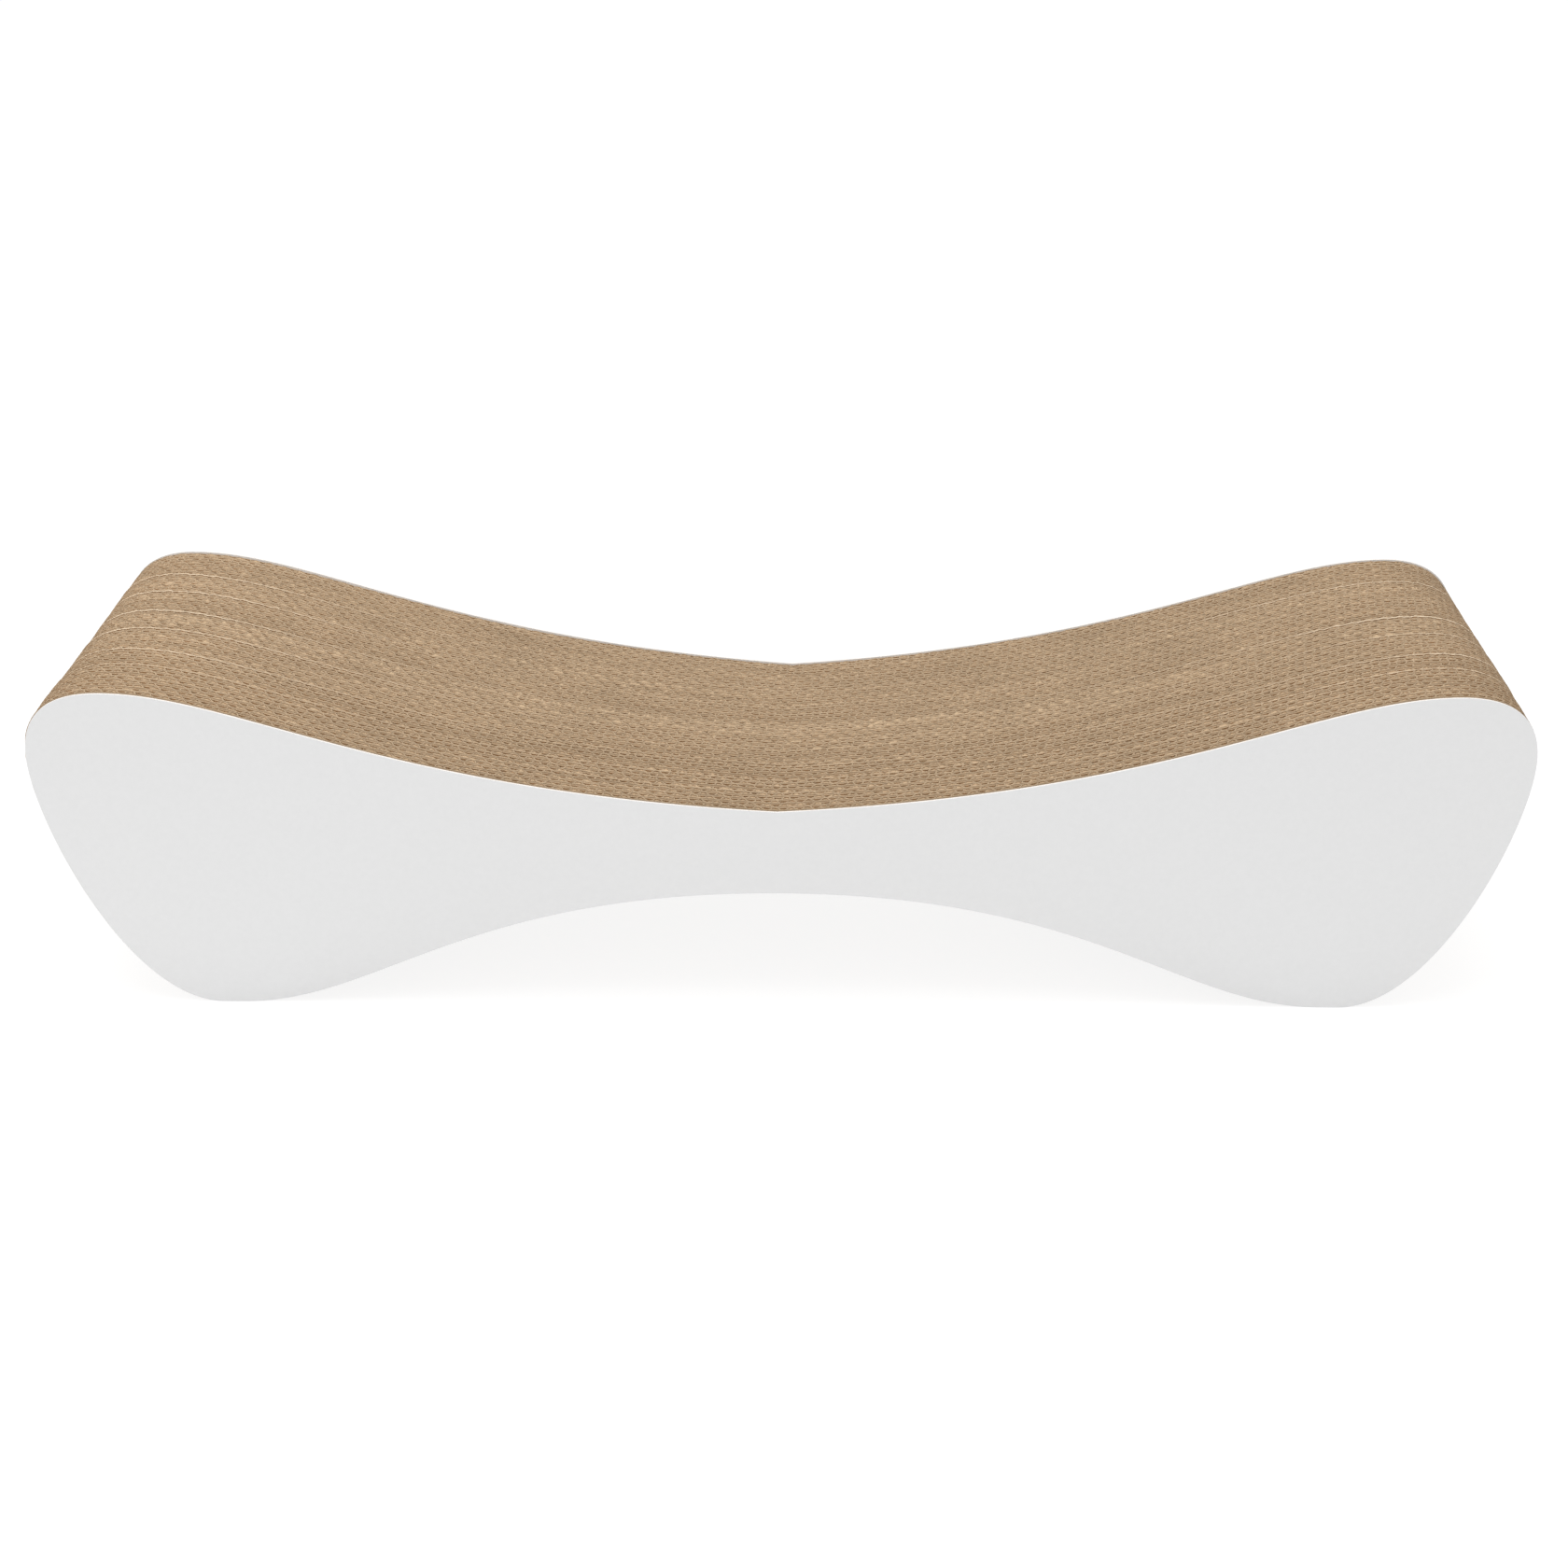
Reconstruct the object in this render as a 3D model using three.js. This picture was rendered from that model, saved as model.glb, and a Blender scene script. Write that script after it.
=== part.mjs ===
// Cat scratcher lounge: a bow-tie shaped stack of corrugated boards, standing on edge side by side
// and glued together between two white-faced cover boards. Cats lie in the dip on top.
// Millimetres. X runs along the lounge, Y from its front cover to its rear cover, Z up from the floor.
import * as THREE from 'three';

// Outline of the lounge, the same on both sides of its middle
const halfLength = 349.6;
const crownHeight = 159.5;
const crownX = 313.1;
const dipHeight = 101.2;
const shoulderHeight = 127.6;
const archHeight = 59.3;
const footOuterX = 267.9;
const footInnerX = 258.9;

// How far each stretch of the outline keeps its direction at its two ends, before it turns. The dip
// is a very blunt V: over its reach, each side already climbs by dipRise.
const dipReach = 186;
const dipRise = 9.9;
const crownInnerReach = 62.9;
const crownOuterReach = 24.2;
const shoulderUpperReach = 21.3;
const shoulderLowerReach = 35.3;
const footOuterReach = 44.9;
const footInnerReach = 66.2;
const archReach = 150.8;
const segmentsPerStretch = 8;

// Layers of the stack
const coverThickness = 1.2;
const boardThickness = 3.96;
const glueLine = 0.1;

// The boards are cut in blocks, which are then glued up by hand: the counts run from the front cover
// to the rear cover. The blocks differ a little in length and in place, and the blade rounds each off.
const boardsInEachBlock = [9, 5, 7, 6, 7, 6, 8];
const insetOfEachBlock = [-0.6, -0.25, -0.05, 0.2, 0.25, 0.15, 0.3];
const shiftOfEachBlock = [-0.2, 0.5, 0.5, 0.6, 0.5, 0.5, 0.8];
const blockRounding = 0.35;
const rearCoverInset = 0;
const rearCoverShift = 1.1;

// The stack is a little out of true, and more so towards its rear, while its feet stay flat on the
// floor. There the crowns are higher, the left one most, and the dip is lower, steeper and off centre.
const rearCrownClimb = 2;
const rearDipSink = 0.3;
const rearDipRiseGain = 3.6;
const rearDipShift = 2.2;
const rearTwist = 1.5;

// Finishes
const kraftPaper = { color: 0xb69a79, roughness: 0.92, metalness: 0 };
const whitePaper = { color: 0xefefed, roughness: 0.7, metalness: 0 };

const boardCount = boardsInEachBlock.reduce((sum, count) => sum + count, 0);
const stackDepth = boardCount * (boardThickness + glueLine) + glueLine;

// The closed outline, drawn in from the front cover's own by a small inset, with its feet on the
// floor. depth is the layer's share of the way from the front of the stack to its rear.
function loungeOutline(inset, depth) {
  const end = halfLength - inset;
  const top = crownHeight + rearCrownClimb * depth - inset;
  const dip = dipHeight - rearDipSink * depth - inset;
  const dipX = rearDipShift * depth;
  const dipSide = dip + dipRise + rearDipRiseGain * depth;
  const arch = archHeight + inset;
  const shoulderUpper = shoulderHeight + shoulderUpperReach;
  const shoulderLower = shoulderHeight - shoulderLowerReach;
  const footOuter = footOuterX + footOuterReach;
  const footInner = footInnerX - footInnerReach;
  const crownInner = crownX - crownInnerReach;
  const crownOuter = crownX + crownOuterReach;
  const twisted = (x, z) => [x, z - depth * rearTwist * (x / crownX) * (z / crownHeight)];
  const outline = new THREE.Shape();
  const curveTo = (lead, follow, reached) => {
    outline.bezierCurveTo(...twisted(...lead), ...twisted(...follow), ...twisted(...reached));
  };
  outline.moveTo(...twisted(dipX, dip));
  curveTo([dipX + dipReach, dipSide], [crownInner, top], [crownX, top]);
  curveTo([crownOuter, top], [end, shoulderUpper], [end, shoulderHeight]);
  curveTo([end, shoulderLower], [footOuter, 0], [footOuterX, 0]);
  outline.lineTo(footInnerX, 0);
  curveTo([footInner, 0], [archReach, arch], [0, arch]);
  curveTo([-archReach, arch], [-footInner, 0], [-footInnerX, 0]);
  outline.lineTo(-footOuterX, 0);
  curveTo([-footOuter, 0], [-end, shoulderLower], [-end, shoulderHeight]);
  curveTo([-end, shoulderUpper], [-crownOuter, top], [-crownX, top]);
  curveTo([-crownInner, top], [dipX - dipReach, dipSide], [dipX, dip]);
  return outline;
}

// One upright layer of the stack. Its front face stands at frontY, and its outline faces the front.
function layer(name, thickness, frontY, sideways, inset, finish) {
  const depth = frontY / stackDepth + 0.5;
  const geometry = new THREE.ExtrudeGeometry(loungeOutline(inset, depth), {
    depth: thickness,
    steps: 1,
    bevelEnabled: false,
    curveSegments: segmentsPerStretch,
  });
  const mesh = new THREE.Mesh(geometry, new THREE.MeshStandardMaterial(finish));
  mesh.name = name;
  mesh.rotation.x = Math.PI / 2;
  mesh.position.set(sideways, frontY + thickness, 0);
  return mesh;
}

const lounge = new THREE.Group();
lounge.name = 'cat_scratcher_lounge';

// White front cover
const frontCoverY = -stackDepth / 2 - coverThickness;
lounge.add(layer('front_cover', coverThickness, frontCoverY, 0, 0, whitePaper));

// Corrugated boards, block by block from front to rear
let boardNumber = 0;
for (const [block, boardsInBlock] of boardsInEachBlock.entries()) {
  for (let place = 0; place < boardsInBlock; place += 1) {
    // acrossBlock runs from near -1 on a block's front board to near 1 on its rear board
    const acrossBlock = (2 * place + 1) / boardsInBlock - 1;
    const sideways = shiftOfEachBlock[block];
    const inset = insetOfEachBlock[block] + blockRounding * acrossBlock ** 2;
    const frontY = -stackDepth / 2 + glueLine + boardNumber * (boardThickness + glueLine);
    boardNumber += 1;
    const name = `corrugated_board_${String(boardNumber).padStart(2, '0')}`;
    lounge.add(layer(name, boardThickness, frontY, sideways, inset, kraftPaper));
  }
}

// White rear cover
const rearCoverY = stackDepth / 2;
lounge.add(layer('rear_cover', coverThickness, rearCoverY, rearCoverShift, rearCoverInset, whitePaper));

export default lounge;
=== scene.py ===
# Cat scratcher lounge: a glued stack of upright corrugated boards between two white cover boards.
# The sections follow the object as it is put together: the camera it is seen by, the cut line that
# every layer shares, the kraft paper, the corrugated boards, the two covers, and the floor and
# lamps around it.
import math

import bpy
import numpy as np
from mathutils import Matrix, Vector


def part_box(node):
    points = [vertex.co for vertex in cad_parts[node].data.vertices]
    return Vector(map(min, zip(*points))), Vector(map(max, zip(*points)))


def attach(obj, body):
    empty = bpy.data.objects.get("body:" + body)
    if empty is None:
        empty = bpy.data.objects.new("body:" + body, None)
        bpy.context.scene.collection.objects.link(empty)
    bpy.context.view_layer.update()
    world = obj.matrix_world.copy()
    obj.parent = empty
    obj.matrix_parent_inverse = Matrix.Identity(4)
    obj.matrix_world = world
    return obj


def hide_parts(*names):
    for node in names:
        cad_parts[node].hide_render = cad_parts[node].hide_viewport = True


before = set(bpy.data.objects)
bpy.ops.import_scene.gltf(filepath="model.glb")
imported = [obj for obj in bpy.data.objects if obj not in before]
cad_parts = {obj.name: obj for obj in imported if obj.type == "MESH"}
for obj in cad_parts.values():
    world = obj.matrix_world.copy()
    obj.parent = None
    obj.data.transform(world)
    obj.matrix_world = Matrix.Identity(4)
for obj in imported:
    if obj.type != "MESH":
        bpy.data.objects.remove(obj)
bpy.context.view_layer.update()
bpy.ops.object.select_all(action="DESELECT")
scene = bpy.context.scene
scene.view_settings.view_transform = "Standard"


# Camera
# It stands 1.2 m in front of the lounge and 0.6 m above the floor, and looks down at it. The values
# come from fitting the outline of the front cover and the back edge of the stack.
camera_place = Vector((0.0309, -1.2270, 0.6041))
camera_pitch = math.radians(-23.4)
camera_turn = math.radians(1.398)
camera_roll = math.radians(-0.328)
sensor_width_mm = 36.0
focal_length_mm = 60.82

camera_data = bpy.data.cameras.new("photo_camera")
camera_data.sensor_width = sensor_width_mm
camera_data.lens = focal_length_mm
camera = bpy.data.objects.new("photo_camera", camera_data)
scene.collection.objects.link(camera)
aim = Matrix.Rotation(camera_turn, 4, "Z") @ Matrix.Rotation(math.pi / 2 + camera_pitch, 4, "X")
camera.matrix_world = Matrix.Translation(camera_place) @ aim @ Matrix.Rotation(camera_roll, 4, "Z")
scene.camera = camera


# Cut line
# Every layer is cut to one bow-tie line: up from a blunt dip to a crown, round the shoulder, down
# to a narrow foot, and up again into the arch. Towards its rear the stack is a little out of true:
# the crowns stand higher, the left one most, and the dip is lower, steeper and off centre.
crown_height = 0.1595
crown_x = 0.3131
dip_height = 0.1012
dip_rise = 0.0099
shoulder_height = 0.1276
arch_height = 0.0593
foot_outer_x = 0.2679
foot_inner_x = 0.2589
dip_reach = 0.186
crown_inner_reach = 0.0629
crown_outer_reach = 0.0242
shoulder_upper_reach = 0.0213
shoulder_lower_reach = 0.0353
foot_outer_reach = 0.0449
foot_inner_reach = 0.0662
arch_reach = 0.1508
rear_crown_climb = 0.002
rear_dip_sink = 0.0003
rear_dip_rise_gain = 0.0036
rear_dip_shift = 0.0022
rear_twist = 0.0015
cover_low, cover_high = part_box("front_cover")
half_length = (cover_high.x - cover_low.x) / 2
stack_front = cover_high.y
stack_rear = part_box("rear_cover")[0].y
points_each_stretch = 60


def cubic_points(start, lead, follow, end):
    """Points along one stretch of the line, from its start to just before its end."""
    t = np.linspace(0, 1, points_each_stretch, endpoint=False)[:, None]
    a, b, c, d = (np.array(point) for point in (start, lead, follow, end))
    return (1 - t) ** 3 * a + 3 * (1 - t) ** 2 * t * b + 3 * (1 - t) * t**2 * c + t**3 * d


def line_through(places):
    """The points of a line whose stretches start and end at every third of its places."""
    stretches = [cubic_points(*places[i:i + 4]) for i in range(0, len(places) - 1, 3)]
    return np.vstack(stretches + [places[-1]])


def cut_lines(node):
    """A layer's line over its crowns and its line under its feet, each from left to right."""
    low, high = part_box(node)
    end = (high.x - low.x) / 2
    inset = half_length - end
    depth = (low.y - stack_front) / (stack_rear - stack_front)
    top = crown_height + rear_crown_climb * depth - inset
    dip = dip_height - rear_dip_sink * depth - inset
    dip_x = rear_dip_shift * depth
    dip_side = dip + dip_rise + rear_dip_rise_gain * depth
    arch = arch_height + inset

    def twisted(x, z):
        return x, z - depth * rear_twist * (x / crown_x) * (z / crown_height)

    def half(side):
        """One side of the line, out from the dip over the crown, and out from the arch to the foot."""
        over = [twisted(x, z) for x, z in (
            (dip_x, dip), (dip_x + side * dip_reach, dip_side),
            (side * (crown_x - crown_inner_reach), top), (side * crown_x, top),
            (side * (crown_x + crown_outer_reach), top),
            (side * end, shoulder_height + shoulder_upper_reach), (side * end, shoulder_height))]
        under = [twisted(side * x, z) for x, z in (
            (0, arch), (arch_reach, arch), (foot_inner_x - foot_inner_reach, 0), (foot_inner_x, 0),
            (foot_inner_x, 0), (foot_outer_x, 0), (foot_outer_x, 0),
            (foot_outer_x + foot_outer_reach, 0), (end, shoulder_height - shoulder_lower_reach),
            (end, shoulder_height))]
        return line_through(over), line_through(under)

    (left_over, left_under), (right_over, right_under) = half(-1), half(1)
    over_crowns = np.vstack([left_over[:0:-1], right_over])
    under_feet = np.vstack([left_under[:0:-1], right_under])
    middle_x = (high.x + low.x) / 2
    return over_crowns + (middle_x, 0), under_feet + (middle_x, 0)


# Kraft paper
# Liners and medium are unbleached kraft: matt, flecked with fibres, a little cloudy from place to
# place. Each sheet has its own tone. The cut edge is fuzzy and a little darker and greyer than the
# face, and where the blade tore a lip out of it the fibres are pale.
kraft_face_dark = (0.503, 0.361, 0.224, 1)
kraft_face_light = (0.597, 0.436, 0.277, 1)
kraft_edge = (0.409, 0.303, 0.200, 1)
kraft_lip = (0.70, 0.575, 0.43, 1)
kraft_clouds = (0.965, 1.035)
kraft_fuzz = (0.92, 1.08)
fray_starts_at = 0.6
fray_share = 0.75
middle_of_mottle = (0.3, 0.7)


def matt_surface(name, roughness, gloss):
    """A surface that has its sheen and no colour yet, with its node tree and its shader."""
    material = bpy.data.materials.new(name)
    material.use_nodes = True
    shader = material.node_tree.nodes["Principled BSDF"]
    shader.inputs["Roughness"].default_value = roughness
    shader.inputs["Specular IOR Level"].default_value = gloss
    return material, material.node_tree, shader


def mottle(tree, scale, detail, roughness=0.5):
    """Mottle that is fixed to the piece: clouds at a small scale, and flecks at a large one."""
    place = tree.nodes.new("ShaderNodeTexCoord")
    node = tree.nodes.new("ShaderNodeTexNoise")
    node.inputs["Scale"].default_value = scale
    node.inputs["Detail"].default_value = detail
    node.inputs["Roughness"].default_value = roughness
    tree.links.new(place.outputs["Object"], node.inputs["Vector"])
    return node.outputs["Fac"]


def rescaled(tree, value, source, target):
    """A value brought from one range to another, and kept inside that."""
    node = tree.nodes.new("ShaderNodeMapRange")
    for name, limit in zip(("From Min", "From Max", "To Min", "To Max"), source + target):
        node.inputs[name].default_value = limit
    tree.links.new(value, node.inputs["Value"])
    return node.outputs["Result"]


def mottled_colour(tree, flecks, places, colours):
    """A colour that runs from dark to light as the flecks go from the first place to the second."""
    node = tree.nodes.new("ShaderNodeValToRGB")
    for stop, place, colour in zip(node.color_ramp.elements, places, colours):
        stop.position = place
        stop.color = colour
    tree.links.new(flecks, node.inputs["Fac"])
    return node.outputs["Color"]


def from_mesh(tree, name):
    """A value that the mesh carries at each of its points."""
    node = tree.nodes.new("ShaderNodeAttribute")
    node.attribute_name = name
    return node.outputs["Fac"]


def product(tree, first, second):
    """Two values multiplied."""
    node = tree.nodes.new("ShaderNodeMath")
    node.operation = "MULTIPLY"
    tree.links.new(first, node.inputs[0])
    tree.links.new(second, node.inputs[1])
    return node.outputs["Value"]


def toned(tree, colour, strength):
    """A colour made lighter or darker."""
    node = tree.nodes.new("ShaderNodeVectorMath")
    node.operation = "SCALE"
    tree.links.new(colour, node.inputs[0])
    tree.links.new(strength, node.inputs["Scale"])
    return node.outputs["Vector"]


def colour_mix(tree, share):
    """A mix of two colours, A and B, with the given share of B."""
    node = tree.nodes.new("ShaderNodeMix")
    node.data_type = "RGBA"
    tree.links.new(share, node.inputs["Factor"])
    return node


def add_tooth(tree, shader, fibres, strength, depth):
    """Fibres that stand up a little from the paper."""
    bump = tree.nodes.new("ShaderNodeBump")
    bump.inputs["Strength"].default_value = strength
    bump.inputs["Distance"].default_value = depth
    tree.links.new(fibres, bump.inputs["Height"])
    tree.links.new(bump.outputs["Normal"], shader.inputs["Normal"])


def kraft_paper():
    """Kraft that reads its tone with painted light and shade, its cut edges and their torn lips from the
    mesh.
    """
    material, tree, shader = matt_surface("kraft_paper", roughness=0.92, gloss=0.2)
    clouds = mottle(tree, scale=28, detail=3)
    fibres = mottle(tree, scale=2000, detail=4, roughness=0.65)
    cloudy = rescaled(tree, clouds, middle_of_mottle, kraft_clouds)
    tone_and_painted_light = product(tree, from_mesh(tree, "tone_and_painted_light"), cloudy)
    face = mottled_colour(tree, fibres, (0.25, 0.75), (kraft_face_dark, kraft_face_light))

    fuzz = rescaled(tree, fibres, middle_of_mottle, kraft_fuzz)
    edge = colour_mix(tree, from_mesh(tree, "lip"))
    edge.inputs["A"].default_value = kraft_edge
    edge.inputs["B"].default_value = kraft_lip
    fuzzy_edge = toned(tree, edge.outputs["Result"], product(tree, tone_and_painted_light, fuzz))

    frayed = rescaled(tree, from_mesh(tree, "cut"), (fray_starts_at, 1.0), (0.0, fray_share))
    paper = colour_mix(tree, frayed)
    tree.links.new(toned(tree, face, tone_and_painted_light), paper.inputs["A"])
    tree.links.new(fuzzy_edge, paper.inputs["B"])
    tree.links.new(paper.outputs["Result"], shader.inputs["Base Color"])
    add_tooth(tree, shader, fibres, strength=0.5, depth=0.0002)
    return material


# Corrugated boards
# Single-wall board: two flat liners with a fluted medium glued between them, its flutes upright.
# The boards are cut to the line in blocks, and the blade drags and frays their edges: it leaves the
# flutes open here and half closed there, and drags out a pale lip where one block meets the next.
liner_thickness = 0.00026
medium_thickness = 0.00022
liner_columns = 560
medium_columns = 960
boards_in_each_block = (9, 5, 7, 6, 7, 6, 8)
bluntness_of_each_block = (0.95, 1.0, 1.15, 1.2, 1.15, 1.2, 1.15)
left_lip_of_each_block = (0.45, 0.95, 1.1, 1.4, 1.3, 1.1, 0)
right_lip_of_each_block = (0.8, 1.0, 0.6, 1.25, 0.2, 1.1, 0)

# The wave of the medium is a rounded square one. From one board to the next it shifts by a share of
# its pitch, and it slips and wanders a little.
flute_pitch = 0.0078
flute_squareness = 1.3
flute_shift = 0.42
flute_slip = 0.03
flute_wander = 0.05

# Random unevenness runs over this many columns of the medium
fine_stretch = 1
broad_stretch = 60

# Near its cut the paper swells to a multiple of its thickness, more so under a blunt blade
edge_band = 0.002
edge_band_share = 0.3
swell_always = 0.65
swell_blunt = 0.85
swell_shake = 0.3
swell_lip = 1.6

# The blade drags the medium along the board and across it, and the liners over the open flutes
drag_always = 0.4
drag_blunt = 0.6
drag_along = 0.0003
drag_across = 0.00014
drag_lean = 0.00012
drag_over_flute = 0.0006
drag_over_flute_shake = 0.0001

# A lip grows from the middle of the lounge to just past its crown, is patchy, and fades out on the
# way down to the feet, higher up on the two ends than on the curve between the crowns
lip_reach = 1.08
lip_mean = 0.95
lip_broad_patches = 0.12
lip_fine_patches = 0.2
lip_limits = (0.2, 1.6)
lip_fade_on_ends = (0.099, 0.144)
lip_fade_between = (0.05, 0.1)

# A board stands a little proud or sunk, a lip stands proud, and the blade wears the rest down.
# The strips that stand on the floor stay flat.
board_rise = 0.00005
board_rise_wander = 0.00006
lip_rise = 0.0002
paper_wear = 0.0001
medium_wear = 0.0001
flat_below = 0.002

# Torn fibres choke each flute just inside the cut, and sag between its walls
choke_depth = 0.0004
choke_sag = 0.0007
choke_sharp = 1.5
choke_blunt = 0.7
choke_shake = 0.2
choke_margin = 0.0001

# Tones are shares of the kraft's own. The last line is painted light and shade: places along the lounge
# and how much lighter the boards are painted there, lighter on the left lobe and darker on the right
# slope.
board_tone = 0.009
board_tone_wander = 0.006
medium_tone = 0.97
edge_tone = 0.02
lip_paleness = 0.8
# The first board's front liner is darker at its cut: glue, and painted shade in the gap behind the front
# cover
first_board_glue_and_gap_shade = 0.15
painted_light_along = ((-0.3, 0.055), (-0.2, -0.01), (-0.1, -0.01), (0, 0), (0.17, -0.04), (0.28, 0))
kraft = kraft_paper()


def paper_blank(columns, layer):
    """A flat upright sheet with two sides and cut rims, one unit long and high, in its own layer.

    Its thickness here only keeps its two sides apart. cut_board gives it the real one.
    """
    bpy.ops.mesh.primitive_grid_add(x_subdivisions=columns, y_subdivisions=3, size=1,
                                    location=(0, layer, 0), rotation=(math.pi / 2, 0, 0))
    bpy.ops.object.transform_apply(location=True, rotation=True, scale=True)
    bpy.ops.object.modifier_add(type="SOLIDIFY")
    solidify = bpy.context.object.modifiers[-1]
    solidify.thickness = 0.1
    solidify.offset = 0
    bpy.ops.object.modifier_apply(modifier=solidify.name)
    return bpy.context.object


def choke_blank(end):
    """A level strip across the whole board, for the torn fibres that choke its flutes near one cut."""
    bpy.ops.mesh.primitive_grid_add(x_subdivisions=medium_columns, y_subdivisions=2, size=1,
                                    location=(0, 0, end))
    bpy.ops.object.transform_apply(location=True, rotation=True, scale=True)
    return bpy.context.object


blank_sheets = [
    paper_blank(liner_columns, -1),
    paper_blank(medium_columns, 0),
    paper_blank(liner_columns, 1),
    choke_blank(-1),
    choke_blank(1),
]
for sheet in blank_sheets:
    sheet.select_set(True)
bpy.ops.object.join()
blank_board = bpy.context.object
blank_board.name = "blank_board"
bpy.ops.object.shade_smooth_by_angle(angle=math.radians(40))
blank_board.data.materials.append(kraft)

# Each point of the blank knows its place in a board: its sheet, the side of the paper, its column
# and its row. The rows 0 and 3 are the cut edges, and the choke strips lie beyond them.
blank_points = np.empty(len(blank_board.data.vertices) * 3)
blank_board.data.vertices.foreach_get("co", blank_points)
blank_points = blank_points.reshape(-1, 3)
chokes = np.abs(blank_points[:, 2]) > 0.9
across = np.where(chokes, blank_points[:, 1] * 2, 0)
layer = np.where(chokes, 0, np.round(blank_points[:, 1])).astype(int)
side = np.sign(blank_points[:, 1] - layer)
along = blank_points[:, 0] + 0.5
column = np.round(along * medium_columns).astype(int)
row = np.round((blank_points[:, 2] + 0.5) * 3).astype(int)
at_cut = ((row == 0) | (row == 3)).astype(float)
upper = row > 1
is_medium = (layer == 0) & ~chokes


def wander(rng, stretch):
    """Random values near -1 to 1, one for each medium column, smoothed over a number of them."""
    raw = rng.normal(size=medium_columns + 1 + 2 * stretch)
    kernel = np.hanning(2 * stretch + 1)
    values = np.convolve(raw, kernel / np.sqrt((kernel**2).sum()), mode="same")
    return values[stretch:stretch + medium_columns + 1]


def places_along(over_crowns, under_feet):
    """Where each point stands along the board: columns crowd where the cut line is steep."""
    low_x, high_x = over_crowns[0, 0], over_crowns[-1, 0]
    samples = np.sin(np.linspace(-1, 1, 4001) * math.pi / 2)
    x = (low_x + high_x) / 2 + (high_x - low_x) / 2 * samples
    top = np.interp(x, *over_crowns.T)
    bottom = np.interp(x, *under_feet.T)
    steps = np.sqrt(np.diff(x) ** 2 + np.diff(top) ** 2 + np.diff(bottom) ** 2)
    travelled = np.concatenate([[0], np.cumsum(steps)])
    return np.interp(along, travelled / travelled[-1], x)


def flute_wave(x, start):
    """The medium's wave from -1 at the front liner to 1 at the rear one, and its slope."""
    turn = 2 * math.pi * (x / flute_pitch + start)
    swing = flute_squareness * np.sin(turn)
    wave = np.tanh(swing) / math.tanh(flute_squareness)
    slope = np.cos(turn) * flute_squareness / np.cosh(swing) ** 2 / math.tanh(flute_squareness)
    return wave, slope


def torn_lip(x, height, left_lip, right_lip):
    """How much of a lip stands at each point: none but on the rear liner's cut edges."""
    grown = np.clip(np.abs(x) / crown_x, 0, lip_reach) ** 2
    on_end = np.interp(height, lip_fade_on_ends, (0, 1))
    between = np.interp(height, lip_fade_between, (0, 1))
    high_up = np.where(np.abs(x) > crown_x, on_end, between)
    return (layer > 0) * at_cut * grown * high_up * np.where(x < 0, left_lip, right_lip)


def outward(line, x):
    """The direction at right angles to a line that runs from left to right, up and away from it."""
    along_line = np.gradient(line, axis=0)
    along_line /= np.linalg.norm(along_line, axis=1)[:, None]
    return np.interp(x, line[:, 0], -along_line[:, 1]), np.interp(x, line[:, 0], along_line[:, 0])


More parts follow.
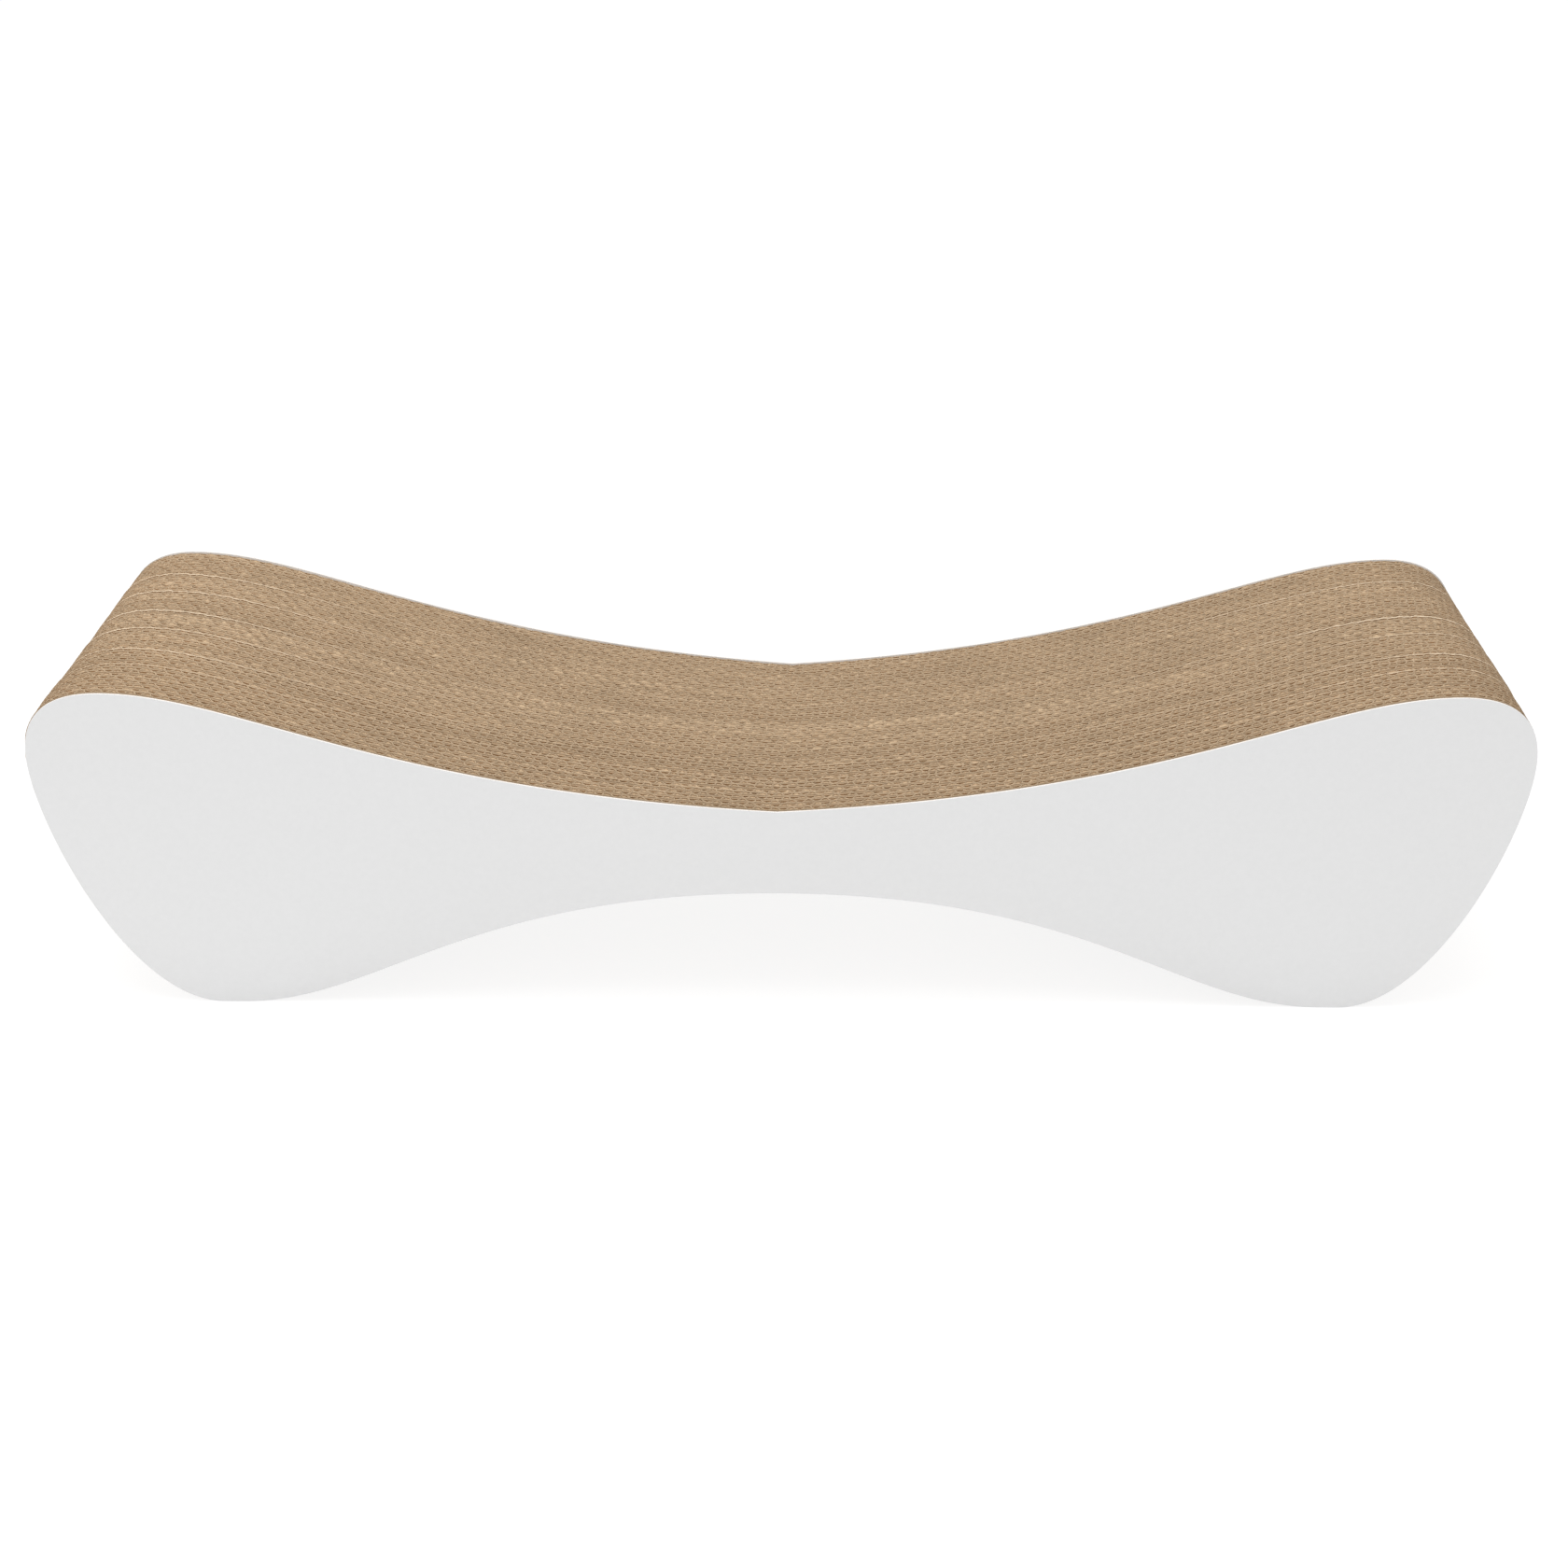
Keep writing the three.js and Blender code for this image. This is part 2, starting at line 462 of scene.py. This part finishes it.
def cut_board(number, bluntness, left_lip, right_lip):
    """One board of the stack in its place, cut to its own outline, with its edges frayed."""
    node = f"corrugated_board_{number:02d}"
    low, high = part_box(node)
    middle_y = (high.y + low.y) / 2
    room = (high.y - low.y) / 2
    over_crowns, under_feet = cut_lines(node)
    x = places_along(over_crowns, under_feet)
    height = np.where(upper, np.interp(x, *over_crowns.T), np.interp(x, *under_feet.T))

    # Random values: at each column, over broad stretches, and one for the whole board
    rng = np.random.default_rng(number)
    fine = [wander(rng, fine_stretch)[column] for _ in range(6)]
    lean_above, lean_below, drift, rise, cloud, patches = (
        wander(rng, broad_stretch)[column] for _ in range(6))
    own_slip, own_rise, own_tone = (rng.normal() for _ in range(3))
    shake_x, shake_y, shake_z = (np.where(upper, fine[i], fine[i + 3]) for i in range(3))
    grain = fine[5]
    lean = np.where(upper, lean_above, lean_below)

    # Sheets, swollen at their cut edges
    wave, slope = flute_wave(x, flute_shift * number + flute_slip * own_slip + flute_wander * drift)
    wave_height = room - liner_thickness - medium_thickness / 2
    steepness = slope * wave_height * 2 * math.pi / flute_pitch
    stretch = np.sqrt(1 + steepness**2)
    patchy = np.clip(lip_mean + lip_broad_patches * patches + lip_fine_patches * grain, *lip_limits)
    lip = torn_lip(x, height, left_lip, right_lip) * patchy
    swollen_by_blade = bluntness * (swell_blunt + swell_shake * np.abs(shake_y))
    swollen = 1 + swell_lip * lip + at_cut * (swell_always + swollen_by_blade)
    medium_y = wave_height * wave + side * swollen * medium_thickness / 2 / stretch
    medium_x = x - side * swollen * medium_thickness / 2 * steepness / stretch
    liner_y = layer * (room - swollen * liner_thickness / 2) + side * swollen * liner_thickness / 2

    # Edges, dragged sideways by the blade
    dragged = at_cut * (drag_always + drag_blunt * bluntness)
    open_side = np.clip(1 - layer * wave, 0, 1)
    over_flute = -layer * open_side * (drag_over_flute + drag_over_flute_shake * shake_y)
    sideways = np.where(is_medium, drag_across * shake_y, over_flute)
    x = np.clip(np.where(is_medium, medium_x + dragged * drag_along * shake_x, x), low.x, high.x)
    y = np.where(is_medium, medium_y, liner_y) + dragged * (sideways + drag_lean * lean)
    y = np.where(chokes, across * (room - choke_margin), np.clip(y, -room, room))

    # Height, from the cut line
    top = np.interp(x, *over_crowns.T)
    bottom = np.interp(x, *under_feet.T)
    band = np.minimum(edge_band, (top - bottom) * edge_band_share)
    z = np.select([row <= 0, row == 1, row == 2], [bottom, bottom + band, top - band], top)
    outwards = np.where(upper, 1, -1) * at_cut * (z > flat_below)
    uneven = board_rise * own_rise + board_rise_wander * rise + lip_rise * lip
    worn = bluntness * (paper_wear + is_medium * medium_wear) * np.abs(shake_z)
    z = z + outwards * (uneven - worn)

    # Torn fibres, sunk at right angles to the cut line
    gap = np.abs(across - wave) / (1 + np.abs(across))
    opened = (choke_sharp - choke_blunt * bluntness) * np.exp(choke_shake * shake_y)
    sunk = chokes * (choke_depth + choke_sag * gap) * opened
    over_x, over_z = outward(over_crowns, x)
    under_x, under_z = outward(under_feet, x)
    x = x - sunk * np.where(upper, over_x, -under_x)
    z = z - sunk * np.where(upper, over_z, -under_z)

    mesh = blank_board.data.copy()
    points = np.stack([x, y + middle_y, z], axis=1)
    mesh.vertices.foreach_set("co", points.ravel())
    # Painted light and shade: on top of its own random tone, the board is painted lighter on the left lobe
    # and darker on the right slope
    tone_with_painted_light = 1 + board_tone * own_tone + board_tone_wander * cloud + np.interp(x, *zip(*painted_light_along))
    sheet_tone_with_painted_light = np.where(is_medium, medium_tone, 1.0) * tone_with_painted_light
    # Painted shade with glue: the first board's front liner is darker at its cut, in the gap behind the
    # front cover
    glue_and_gap_shade = first_board_glue_and_gap_shade * at_cut * (layer < 0) * (number == 1)
    tone_and_painted_light = sheet_tone_with_painted_light * (1 + at_cut * edge_tone * grain - glue_and_gap_shade)
    for name, values in (("tone_and_painted_light", tone_and_painted_light), ("cut", at_cut), ("lip", lip_paleness * lip)):
        attribute = mesh.attributes.new(name, "FLOAT", "POINT")
        attribute.data.foreach_set("value", values)
    mesh.update()
    board = bpy.data.objects.new(f"fluted_board_{number:02d}", mesh)
    scene.collection.objects.link(board)
    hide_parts(node)
    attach(board, "root")


number = 0
for boards_in_block, bluntness, left_lip, right_lip in zip(
        boards_in_each_block, bluntness_of_each_block, left_lip_of_each_block, right_lip_of_each_block):
    for place_in_block in range(boards_in_block):
        number += 1
        is_last = place_in_block == boards_in_block - 1
        cut_board(number, bluntness, left_lip * is_last, right_lip * is_last)
bpy.data.objects.remove(blank_board)


# White covers
# A thin board with a smooth white paper face closes the stack at the front and at the rear. It is
# cut with the same line, and its cut edge shows the cream core of the board as a thin pale rim.
cover_edge_radius = 0.00012
same_place = 1e-6


def cover_paper(name, grain, dark, light):
    """Matt paper whose colour runs softly from dark to light, with a fine tooth."""
    material, tree, shader = matt_surface(name, roughness=0.62, gloss=0.3)
    fibres = mottle(tree, scale=grain, detail=5)
    colour = mottled_colour(tree, fibres, middle_of_mottle, (dark, light))
    tree.links.new(colour, shader.inputs["Base Color"])
    add_tooth(tree, shader, fibres, strength=0.15, depth=0.0001)
    return material


white_face = cover_paper("white_face", 420, (0.812, 0.812, 0.812, 1), (0.827, 0.827, 0.827, 1))
cream_edge = cover_paper("cream_edge", 700, (0.82, 0.76, 0.70, 1), (0.87, 0.81, 0.76, 1))


def cover_board(name, node):
    """A cover cut from the flat: the whole closed line filled, thickened and rounded at its edges."""
    low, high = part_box(node)
    over_crowns, under_feet = cut_lines(node)
    closed = np.vstack([over_crowns[:-1], under_feet[:0:-1]])
    steps = np.linalg.norm(closed - np.roll(closed, 1, axis=0), axis=1)
    closed = closed[steps > same_place]
    bpy.ops.mesh.primitive_circle_add(vertices=len(closed), radius=1, fill_type="NGON")
    cover = bpy.context.object
    cover.name = name
    flat = np.stack([closed[:, 0], np.full(len(closed), low.y), closed[:, 1]], axis=1)
    cover.data.vertices.foreach_set("co", flat.ravel())
    cover.data.update()
    bpy.ops.object.mode_set(mode="EDIT")
    bpy.ops.mesh.select_all(action="SELECT")
    bpy.ops.mesh.extrude_region_move(TRANSFORM_OT_translate={"value": (0, high.y - low.y, 0)})
    bpy.ops.mesh.select_all(action="SELECT")
    bpy.ops.mesh.remove_doubles(threshold=1e-7)
    bpy.ops.mesh.normals_make_consistent(inside=False)
    bpy.ops.object.mode_set(mode="OBJECT")
    cover.data.materials.append(white_face)
    cover.data.materials.append(cream_edge)
    for face in cover.data.polygons:
        face.material_index = 0 if abs(face.normal.y) > 0.9 else 1
    bpy.ops.object.modifier_add(type="BEVEL")
    bevel = cover.modifiers[-1]
    bevel.width = cover_edge_radius
    bevel.segments = 2
    bevel.limit_method = "ANGLE"
    bevel.angle_limit = math.radians(60)
    bevel.material = 0
    bpy.ops.object.modifier_apply(modifier=bevel.name)

    # The rounded edge is shaded smooth, and the two large faces flat
    bpy.ops.object.shade_smooth_by_angle(angle=math.radians(50))
    for face in cover.data.polygons:
        if abs(face.normal.y) > 0.999:
            face.use_smooth = False
    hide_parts(node)
    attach(cover, "root")


cover_board("front_cover_board", "front_cover")
cover_board("rear_cover_board", "rear_cover")


# Floor and lamps
# A plain white floor that keeps a soft shadow, an even white sky, a wide lamp above and a weak one
# at the left. The camera sees floor and sky lifted to white, and the lounge is lit without that.
floor_size = 30.0
floor_colour = (0.92, 0.92, 0.92, 1)
floor_colour_seen = (0.2, 0.2, 0.2, 1)
floor_lift_seen = 0.885
sky_light = 0.68
sky_light_seen = 1.0
lamps = (("wide_lamp", (-0.15, -0.2, 2.0), 1.8, 25), ("left_lamp", (-1.7, 0.2, 1.0), 1.0, 3))
lamps_aim = Vector((0, 0, 0.08))


def larger(tree, first, second):
    """The larger of two values."""
    node = tree.nodes.new("ShaderNodeMath")
    node.operation = "MAXIMUM"
    tree.links.new(first, node.inputs[0])
    tree.links.new(second, node.inputs[1])
    return node.outputs["Value"]


def seen_directly(tree):
    """1 where a ray shows the surroundings: from the camera, in a gloss or through glass."""
    path = tree.nodes.new("ShaderNodeLightPath")
    either = larger(tree, path.outputs["Is Camera Ray"], path.outputs["Is Glossy Ray"])
    return larger(tree, either, path.outputs["Is Transmission Ray"])


bpy.ops.mesh.primitive_plane_add(size=floor_size, location=(0, 0, 0))
floor = bpy.context.object
floor.name = "floor"
floor_material, floor_tree, floor_shader = matt_surface("floor_white", roughness=1.0, gloss=0.0)
floor_shader.inputs["Emission Color"].default_value = (1, 1, 1, 1)
floor_seen = seen_directly(floor_tree)
floor_paint = colour_mix(floor_tree, floor_seen)
floor_paint.inputs["A"].default_value = floor_colour
floor_paint.inputs["B"].default_value = floor_colour_seen
floor_tree.links.new(floor_paint.outputs["Result"], floor_shader.inputs["Base Color"])
floor_lift = rescaled(floor_tree, floor_seen, (0.0, 1.0), (0.0, floor_lift_seen))
floor_tree.links.new(floor_lift, floor_shader.inputs["Emission Strength"])
floor.data.materials.append(floor_material)

world = bpy.data.worlds.new("studio")
scene.world = world
world.use_nodes = True
sky = world.node_tree.nodes["Background"]
sky.inputs["Color"].default_value = (1, 1, 1, 1)
sky_seen = seen_directly(world.node_tree)
sky_strength = rescaled(world.node_tree, sky_seen, (0.0, 1.0), (sky_light, sky_light_seen))
world.node_tree.links.new(sky_strength, sky.inputs["Strength"])

for lamp_name, lamp_place, lamp_size, lamp_power in lamps:
    lamp_data = bpy.data.lights.new(lamp_name, "AREA")
    lamp_data.shape = "DISK"
    lamp_data.size = lamp_size
    lamp_data.energy = lamp_power
    lamp = bpy.data.objects.new(lamp_name, lamp_data)
    scene.collection.objects.link(lamp)
    lamp.location = lamp_place
    lamp.rotation_euler = (lamps_aim - lamp.location).to_track_quat("-Z", "Y").to_euler()
